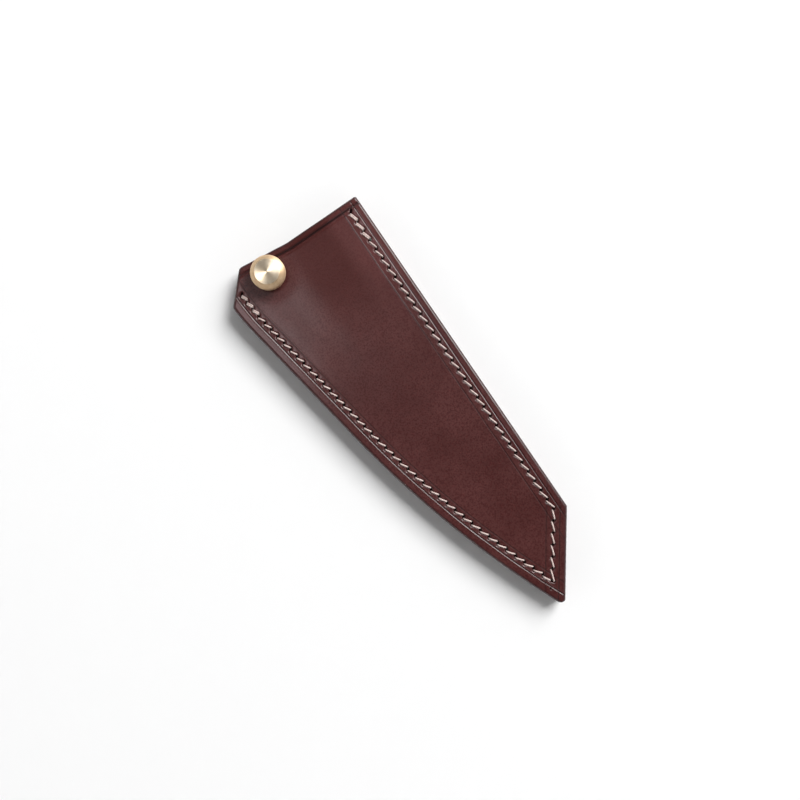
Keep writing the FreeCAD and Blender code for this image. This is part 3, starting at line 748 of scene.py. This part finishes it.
def finish_piece(piece, body, slot, *nodes):
    """Set the body that a piece moves with, and hide the CAD nodes it stands for. slot is not used.
    """
    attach(piece, body)
    if nodes:
        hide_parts(*nodes)


front_leather = leather_panel("front_leather", FRONT_TOP, FRONT_BOTTOM, 1.0, [GRAIN, FLESH])
finish_piece(front_leather, SHEATH, "leather", "front_panel")
back_leather = leather_panel("back_leather", 0.0, BACK_TOP, 0.7, [GRAIN, FLESH])
finish_piece(back_leather, SHEATH, "leather", "back_panel")

# Levels of a welt's outer edge: share of its height, and how far out it swells
WELT_LEVELS = [(0.0, -0.22), (0.08, -0.05), (0.25, 0.06), (0.5, 0.02), (0.75, 0.07), (0.92, -0.04),
               (1.0, -0.22)]
SHOWN_WITHIN = 0.4               # a welt's points this near the outline are on its outer edge


def node_outline(node, level):
    """Longest closed loop of a CAD node's flat face at one height, as ordered plan points."""
    mesh = frame["nodes"][node].data
    bm = bmesh.new()
    bm.from_mesh(mesh)
    bmesh.ops.remove_doubles(bm, verts=bm.verts, dist=1e-6)
    flat_faces = {f for f in bm.faces if all(abs(v.co.z / MM - level) < 1e-3 for v in f.verts)}
    links = {}
    for e in bm.edges:
        if sum(f in flat_faces for f in e.link_faces) == 1:
            a, b = e.verts
            links.setdefault(a, []).append(b)
            links.setdefault(b, []).append(a)
    loops, seen = [], set()
    for start in links:
        if start in seen:
            continue
        loop, here, previous = [start], links[start][0], start
        seen.add(start)
        while here != start and here not in seen:
            seen.add(here)
            loop.append(here)
            onward = [v for v in links[here] if v != previous]
            previous, here = here, onward[0]
        loops.append(np.array([v.co.xy for v in loop]) / MM - SHIFT)
    bm.free()
    longest = max(loops, key=lambda loop: np.linalg.norm(loop - np.roll(loop, 1, 0), axis=1).sum())
    dense = [line_points(a, b, 0.8)[:-1] for a, b in zip(longest, np.roll(longest, -1, 0))]
    return np.concatenate(dense)


def welt(node):
    """A strip of leather between the panels, with a rubbed, slightly swollen outer edge."""
    low, high = heights(node)
    loop = node_outline(node, high)
    edge = outline_distance(loop)
    tangent = np.roll(loop, -1, 0) - np.roll(loop, 1, 0)
    normal = np.stack([tangent[:, 1], -tangent[:, 0]], 1)
    normal /= np.linalg.norm(normal, axis=1)[:, None] + 1e-9
    area = np.sum(loop[:, 0] * np.roll(loop[:, 1], -1) - loop[:, 1] * np.roll(loop[:, 0], -1))
    normal *= np.sign(area)
    shown = (edge < SHOWN_WITHIN)[:, None]
    vertices, count = [], len(loop)
    for share, out in WELT_LEVELS:
        ripple = 0.04 * value_noise(loop + 40 * share, 2.5, 21)[:, None]
        ring = loop + normal * shown * (out + ripple)
        vertices.append(world(ring, np.full(count, low + (high - low) * share)))
    faces = []
    top = len(WELT_LEVELS) - 1
    for row in range(top):
        for i in range(count):
            j = (i + 1) % count
            a, b = row * count + i, row * count + j
            faces.append((a, b, b + count, a + count))
    faces.append(tuple(range(count))[::-1])
    faces.append(tuple(range(top * count, (top + 1) * count)))
    piece = new_object(f"{node}_leather", np.concatenate(vertices), faces, [BURNISHED], False)
    bm = bmesh.new()
    bm.from_mesh(piece.data)
    bmesh.ops.recalc_face_normals(bm, faces=bm.faces)
    bm.to_mesh(piece.data)
    bm.free()
    finish_piece(piece, SHEATH, "leather", node)


for node in ("spine_welt", "tip_welt", "edge_welt"):
    welt(node)

# ------------------------------------------------------------------ thread
THREAD_RADIUS = 0.35
THREAD_SIDES = 12                # vertices round the thread
BACKSTITCH_ASIDE = 0.62          # how far the second pass lies beside the first
FRONT_RISE, DOUBLED_RISE, BACK_RISE = 0.05, 0.08, -0.62    # of a stitch's middle from the face
STITCH_STEP, CROSSING_STEP = 0.2, 1.0            # spacing along a stitch, and inside the leather
PLIES = 3
LAY = 2.4                        # length of one full twist of the thread


def smooth_path(points, step):
    """Points along a Catmull-Rom curve, closer where step is small."""
    points = np.array(points)
    padded = np.concatenate([points[:1], points, points[-1:]])
    out = []
    for i in range(len(points) - 1):
        p0, p1, p2, p3 = padded[i:i + 4]
        count = max(2, int(np.linalg.norm(p2 - p1) / step[i]) + 1)
        t = (np.arange(count) / count)[:, None]
        out.append(0.5 * (2 * p1 + (p2 - p0) * t + (2 * p0 - 5 * p1 + 4 * p2 - p3) * t**2
                          + (3 * p1 - p0 - 3 * p2 + p3) * t**3))
    out.append(points[-1:])
    return np.concatenate(out)


def twisted_tube(name, path, radius):
    """Laid thread along a path: three plies twisted together."""
    tangent = np.gradient(path, axis=0)
    tangent /= np.linalg.norm(tangent, axis=1)[:, None] + 1e-12
    normal = np.cross(tangent[0], (0.3, 0.2, 0.9))
    normals = []
    for t in tangent:
        normal = normal - t * (normal @ t)
        normal /= np.linalg.norm(normal)
        normals.append(normal)
    normals = np.array(normals)
    across = np.cross(tangent, normals)
    run = np.concatenate([[0], np.cumsum(np.linalg.norm(np.diff(path, axis=0), axis=1))])
    vertices, ply = [], []
    for i in range(THREAD_SIDES):
        angle = 2 * math.pi * i / THREAD_SIDES
        lobe = np.abs(np.cos(PLIES / 2 * (angle - 2 * math.pi * run / LAY)))
        r = radius * (0.80 + 0.24 * lobe)
        vertices.append(path + r[:, None] * (math.cos(angle) * normals + math.sin(angle) * across))
        # ply marks the grooves between plies, where the material paints shade.
        ply.append(1 - smooth(0.1, 0.6, lobe))
    vertices = np.stack(vertices, 1).reshape(-1, 3)
    ply = np.stack(ply, 1).reshape(-1)
    index = np.arange(len(ply)).reshape(len(path), THREAD_SIDES)
    turned = np.roll(index, -1, 1)
    quads = np.stack([index[:-1], turned[:-1], turned[1:], index[1:]], -1).reshape(-1, 4)
    faces = [tuple(q) for q in quads] + [tuple(index[0][::-1]), tuple(index[-1])]
    piece = new_object(name, vertices * MM, faces, [LINEN])
    point_values(piece.data, "ply", ply)
    return piece


def stitch_points(a, b, face, side, rise):
    """Rise out of the leather at a, cross the face to b and go back in. side is 1 on the front,
    and -1 on the back."""
    step = (b - a) / np.linalg.norm(b - a)
    spots = [(a, -1.3), (a + 0.12 * step, -0.75), (a + 0.6 * step, -0.16), ((a + b) / 2, 0.06),
             (b - 0.6 * step, -0.16), (b - 0.12 * step, -0.75), (b, -1.3)]
    return [(*(p + SHIFT), face + side * (height + rise)) for p, height in spots]


def strand(name, stitches, first_front, aside=0.0, rise=FRONT_RISE):
    """One needle's thread through a run of stitches, in turn on the front and on the back. aside
    and rise set a second pass beside and above the first."""
    points, step = [], []
    for k in stitches:
        in_front = (k % 2 == 0) == first_front
        a, b = (ups[k], downs[k + 1]) if in_front else (downs[k], ups[k + 1])
        along = (b - a) / np.linalg.norm(b - a)
        beside = np.array([along[1], -along[0]]) * aside
        if in_front:
            stitch = stitch_points(a + beside, b + beside, FRONT_TOP, 1, rise)
        else:
            stitch = stitch_points(a + beside, b + beside, 0.0, -1, BACK_RISE)
        points += stitch
        step += [STITCH_STEP] * (len(stitch) - 1) + [CROSSING_STEP]
    return twisted_tube(name, smooth_path(points, step[:-1]), THREAD_RADIUS)


def melted_end():
    """Scorched bead where the thread's end was cut and melted, on the front."""
    place = holes[DOUBLED[0][-1] + 1] + vec(0.1, 0.35)
    size = Vector((0.62, 0.42, 0.34)) * MM
    ball = bmesh.new()
    bmesh.ops.create_icosphere(ball, subdivisions=3, radius=1.0)
    for v in ball.verts:
        swell = 1 + 0.12 * math.sin(7 * v.co.x + 2) * math.cos(5 * v.co.y)
        v.co = Vector(c * s for c, s in zip(v.co, size)) * swell
        v.co += Vector((*(place + SHIFT), FRONT_TOP - 0.12)) * MM
    mesh = bpy.data.meshes.new("melted_thread_end")
    ball.to_mesh(mesh)
    ball.free()
    mesh.shade_smooth()
    mesh.materials.append(SCORCHED)
    return linked_object("melted_thread_end", mesh)


finish_piece(strand("linen_strand_a", STITCHES, True), SHEATH, "thread", "saddle_thread_a")
finish_piece(strand("linen_strand_b", STITCHES, False), SHEATH, "thread", "saddle_thread_b")
finish_piece(melted_end(), SHEATH, "thread")
for end, stitches in zip(("spine", "heel"), DOUBLED):
    for letter, first_front in (("a", True), ("b", False)):
        second_pass = strand(f"linen_{end}_end_{letter}", stitches, first_front, BACKSTITCH_ASIDE,
                             DOUBLED_RISE)
        finish_piece(second_pass, SHEATH, "thread")


# ------------------------------------------------------------------ turned brass
def lathe(name, profile, material, segments=128, radius_at=None):
    """Closed solid of revolution about the screw's axis. profile is a closed loop of radius and
    height; radius_at may change the radius by height and angle, for a screw thread."""
    profile = np.array(profile, float)
    count = len(profile)
    angles = 2 * math.pi * np.arange(segments) / segments
    centre = PIN + SHIFT
    r, z = profile[:, 0][None, :], profile[:, 1][None, :]
    r = np.repeat(r, segments, 0)
    if radius_at is not None:
        r = radius_at(r, z, angles[:, None])
    x = centre[0] + r * np.cos(angles)[:, None]
    y = centre[1] + r * np.sin(angles)[:, None]
    vertices = np.stack([x, y, np.repeat(z, segments, 0)], -1).reshape(-1, 3) * MM
    index = np.arange(segments * count).reshape(segments, count)
    onward = np.roll(index, -1, 0)
    quads = np.stack([index, onward, np.roll(onward, -1, 1), np.roll(index, -1, 1)], -1)
    piece = new_object(name, vertices, quads.reshape(-1, 4), [material])
    bm = bmesh.new()
    bm.from_mesh(piece.data)
    bmesh.ops.remove_doubles(bm, verts=bm.verts, dist=1e-7)
    bmesh.ops.dissolve_degenerate(bm, edges=bm.edges, dist=1e-8)
    bmesh.ops.recalc_face_normals(bm, faces=bm.faces)
    bm.to_mesh(piece.data)
    bm.free()
    return piece


def softened(corners, radii, steps=5):
    """A closed profile with each corner rounded by its own radius, or left sharp by 0."""
    corners = [vec(*c) for c in corners]
    out = []
    for i, corner in enumerate(corners):
        before, after = corners[i - 1], corners[(i + 1) % len(corners)]
        if radii[i] <= 0:
            out.append(corner)
            continue
        arc = rounded_corner(before, corner, after, radii[i])
        out += list(arc[np.linspace(0, len(arc) - 1, steps).round().astype(int)])
    return out


def subdivided(profile, longest=0.4):
    """A closed profile whose long sides are divided."""
    out = []
    for a, b in zip(profile, profile[1:] + profile[:1]):
        count = max(1, int(np.linalg.norm(b - a) / longest))
        out += [a + (b - a) * i / count for i in range(count)]
    return out


STUD_RADIUS, STUD_CHAMFER = 2.45, 0.4
THREAD_DEPTH = 0.42
THREAD_BAND = 0.3                # only radii this near the stud's own are threaded
KNOB_FACE = 5.4                  # radius of the knob's flat face
KNOB_WALL = 4.6                  # height at which the knob's wall turns into its cone
KNOB_CROWN = 0.26                # how far that cone swells
KNOB_CHAMFER, KNOB_BORE_GAP = 0.7, 0.05
FACE_SKIN = 0.03                 # polygons this near the knob's top are its flat face
BARREL_RADIUS = 3.5
BUSH_GAP = 0.06                  # between the stud and the bush
BUSH_ROUND, BUSH_MOUTH = 0.3, 0.35               # of the flange's rim, and round the bore's top
knob_low, knob_high = heights("thumb_knob")
stud_low, stud_high = heights("threaded_stud")


def knob_profile():
    """Chamfered wall, swelling cone and flat face, with a blind hole for the stud."""
    radius = outer_radius("thumb_knob")
    hole_radius, hole_top = STUD_RADIUS + KNOB_BORE_GAP, stud_high + KNOB_BORE_GAP
    rim, face_rim = vec(radius, knob_low + KNOB_WALL), vec(KNOB_FACE, knob_high)
    outward = vec(*(face_rim - rim)[::-1] * (1, -1)) / np.linalg.norm(face_rim - rim)
    crown = [rim + (face_rim - rim) * t + outward * 4 * KNOB_CROWN * t * (1 - t)
             for t in (0.2, 0.4, 0.6, 0.8)]
    corners = [(hole_radius, knob_low), (radius - KNOB_CHAMFER, knob_low),
               (radius, knob_low + KNOB_CHAMFER), rim, *crown, face_rim, (0.0, knob_high),
               (0.0, hole_top), (hole_radius, hole_top)]
    return subdivided(softened(corners, [0, 0.15, 0.15, 0.22, 0, 0, 0, 0, 0.15, 0, 0, 0]))


knob = lathe("knob_brass", knob_profile(), BRASS)
# Below its flat face the knob takes a darker copy of the brass, as painted shade on its wall and
# cone.
knob.data.materials.append(SHADED_SIDE_BRASS)
for polygon in knob.data.polygons:
    if polygon.center.z / MM < knob_high - FACE_SKIN:
        polygon.material_index = 1
finish_piece(knob, SCREW, "brass", "thumb_knob")


def threaded(r, z, angle):
    """A screw thread with sloping flanks, cut into radii near the stud's own."""
    phase = (z / SCREW_PITCH - angle / (2 * math.pi)) % 1
    cut = THREAD_DEPTH * np.clip(1.25 - np.abs(phase - 0.5) * 4.0, 0, 1)
    cut = cut * ((r > STUD_RADIUS - THREAD_BAND) & (r < STUD_RADIUS + THREAD_BAND))
    return r - cut


def fine_heights(low, high, radius, step=0.07):
    """Profile points up a threaded wall, close enough to show the thread."""
    count = int((high - low) / step)
    return [vec(radius, low + (high - low) * i / count) for i in range(count + 1)]


stud_profile = [vec(0, stud_low), vec(STUD_RADIUS - STUD_CHAMFER, stud_low)]
stud_profile += fine_heights(stud_low + STUD_CHAMFER, stud_high, STUD_RADIUS)
stud_profile += [vec(0, stud_high)]
stud = lathe("stud_brass", stud_profile, BRASS, 64, threaded)
finish_piece(stud, SCREW, "brass", "threaded_stud")

bush_low, bush_high = heights("front_bush")
flange_radius = outer_radius("front_bush")
bush_profile = softened(
    [(BARREL_RADIUS, bush_low), (BARREL_RADIUS, FRONT_TOP), (flange_radius, FRONT_TOP),
     (flange_radius, bush_high), (STUD_RADIUS + BUSH_MOUTH, bush_high)], [0, 0, 0, BUSH_ROUND, 0])
bush_profile += fine_heights(bush_low, bush_high - BUSH_ROUND, STUD_RADIUS + BUSH_GAP)[::-1]
bush = lathe("bush_brass", bush_profile, BRASS, 64, threaded)
finish_piece(bush, SHEATH, "brass", "front_bush")

washer_low, washer_high = heights("knob_washer")
washer_radius, washer_bore = outer_radius("knob_washer"), STUD_RADIUS + 0.1
washer_profile = softened(
    [(washer_bore, washer_low), (washer_radius, washer_low), (washer_radius, washer_high),
     (washer_bore, washer_high)], [0.1, 0.3, 0.3, 0.1])
washer = lathe("washer_leather", washer_profile, BURNISHED)
finish_piece(washer, WASHER, "washer_leather", "knob_washer")

for node in ("bush_ring_nut", "back_post"):
    cad = frame["nodes"][node]
    cad.data.materials.clear()
    cad.data.materials.append(BRASS)

# ------------------------------------------------------------------ stage, light and camera
STUDIO_RADIUS, STUDIO_HEIGHT, STUDIO_SIDES = 6.0, 3.6, 96      # sizes in metres


def floor_material():
    material, _, shader = new_material("pale_floor")
    shader.inputs["Base Color"].default_value = (0.93, 0.93, 0.93, 1)
    shader.inputs["Roughness"].default_value = 0.9
    shader.inputs["Specular IOR Level"].default_value = 0.1
    return material


def wall_material():
    material, _, shader = new_material("lit_backdrop")
    shader.inputs["Base Color"].default_value = (0.9, 0.9, 0.9, 1)
    shader.inputs["Emission Color"].default_value = (1, 1, 1, 1)
    shader.inputs["Emission Strength"].default_value = 0.28
    return material


ring = [(STUDIO_RADIUS * math.cos(a), STUDIO_RADIUS * math.sin(a))
        for a in np.linspace(0, 2 * math.pi, STUDIO_SIDES, endpoint=False)]
sides = [(i, (i + 1) % STUDIO_SIDES) for i in range(STUDIO_SIDES)]
floor = new_object("floor", [(x, y, 0) for x, y in ring], [range(STUDIO_SIDES)],
                   [floor_material()], False)
wall = new_object("backdrop", [(x, y, z) for z in (-0.01, STUDIO_HEIGHT) for x, y in ring],
                  [(i, j, j + STUDIO_SIDES, i + STUDIO_SIDES) for i, j in sides],
                  [wall_material()])

# The camera looks straight down. These are the directions in the frame that run to the right and
# up in its view, the point at its middle, and how far off and how wide that view is, in metres.
VIEW_RIGHT = Vector((0.5640, 0.8258, 0))
VIEW_UP = Vector((-0.8258, 0.5640, 0))
VIEW_CENTRE = Vector((-0.0130, 0.0018, FRONT_TOP * MM))
VIEW_DISTANCE, VIEW_WIDTH = 0.440, 0.3478
SENSOR_WIDTH = 36.0              # millimetres
camera_data = bpy.data.cameras.new("camera")
camera_data.sensor_width = SENSOR_WIDTH
camera_data.lens = SENSOR_WIDTH * VIEW_DISTANCE / VIEW_WIDTH
camera_data.clip_start = 0.01
camera_data.clip_end = 20.0
camera = linked_object("camera", camera_data)
rotation = Matrix((VIEW_RIGHT, VIEW_UP, Vector((0, 0, 1)))).transposed()
camera.matrix_world = rotation.to_4x4()
camera.location = VIEW_CENTRE + Vector((0, 0, VIEW_DISTANCE))
bpy.context.scene.camera = camera


def area_light(name, right, up, height, size, power, colour=(1, 1, 1)):
    """Soft light placed by the view's right and up directions, aimed at the sheath. size is
    along and across the sheath."""
    data = bpy.data.lights.new(name, "AREA")
    data.shape = "RECTANGLE"
    data.size, data.size_y = size
    data.energy = power
    data.color = colour
    light = linked_object(name, data)
    place = VIEW_RIGHT * right + VIEW_UP * up + Vector((0, 0, height))
    back = (place - VIEW_CENTRE).normalized()
    along = Vector((1, 0, 0))
    along = (along - back * along.dot(back)).normalized()
    light.matrix_world = Matrix((along, back.cross(along), back)).transposed().to_4x4()
    light.location = place
    return light


def light_only(light, name, *pieces):
    """Let a light reach only some pieces."""
    receivers = bpy.data.collections.new(name)
    for piece in pieces:
        receivers.objects.link(piece)
    light.light_linking.receiver_collection = receivers


# The key lights everything. Each of the others gives one kind of piece a reflection of its own.
area_light("key", 2.4, 2.6, 3.2, (2.8, 2.8), 300.0)
sheen = area_light("sheen", -0.258, 0.101, 0.9, (0.27, 0.23), 0.95, (1.0, 0.94, 0.96))
light_only(sheen, "leather_only", front_leather, back_leather)
glint = area_light("glint", 1.35, 1.5, 2.0, (2.0, 2.6), 84.0)
light_only(glint, "brass_only", knob)
world_light = bpy.data.worlds.new("world")
world_light.use_nodes = True
background = world_light.node_tree.nodes["Background"]
background.inputs["Color"].default_value = (1, 1, 1, 1)
background.inputs["Strength"].default_value = 0.08
bpy.context.scene.world = world_light
bpy.context.scene.view_settings.view_transform = "Standard"
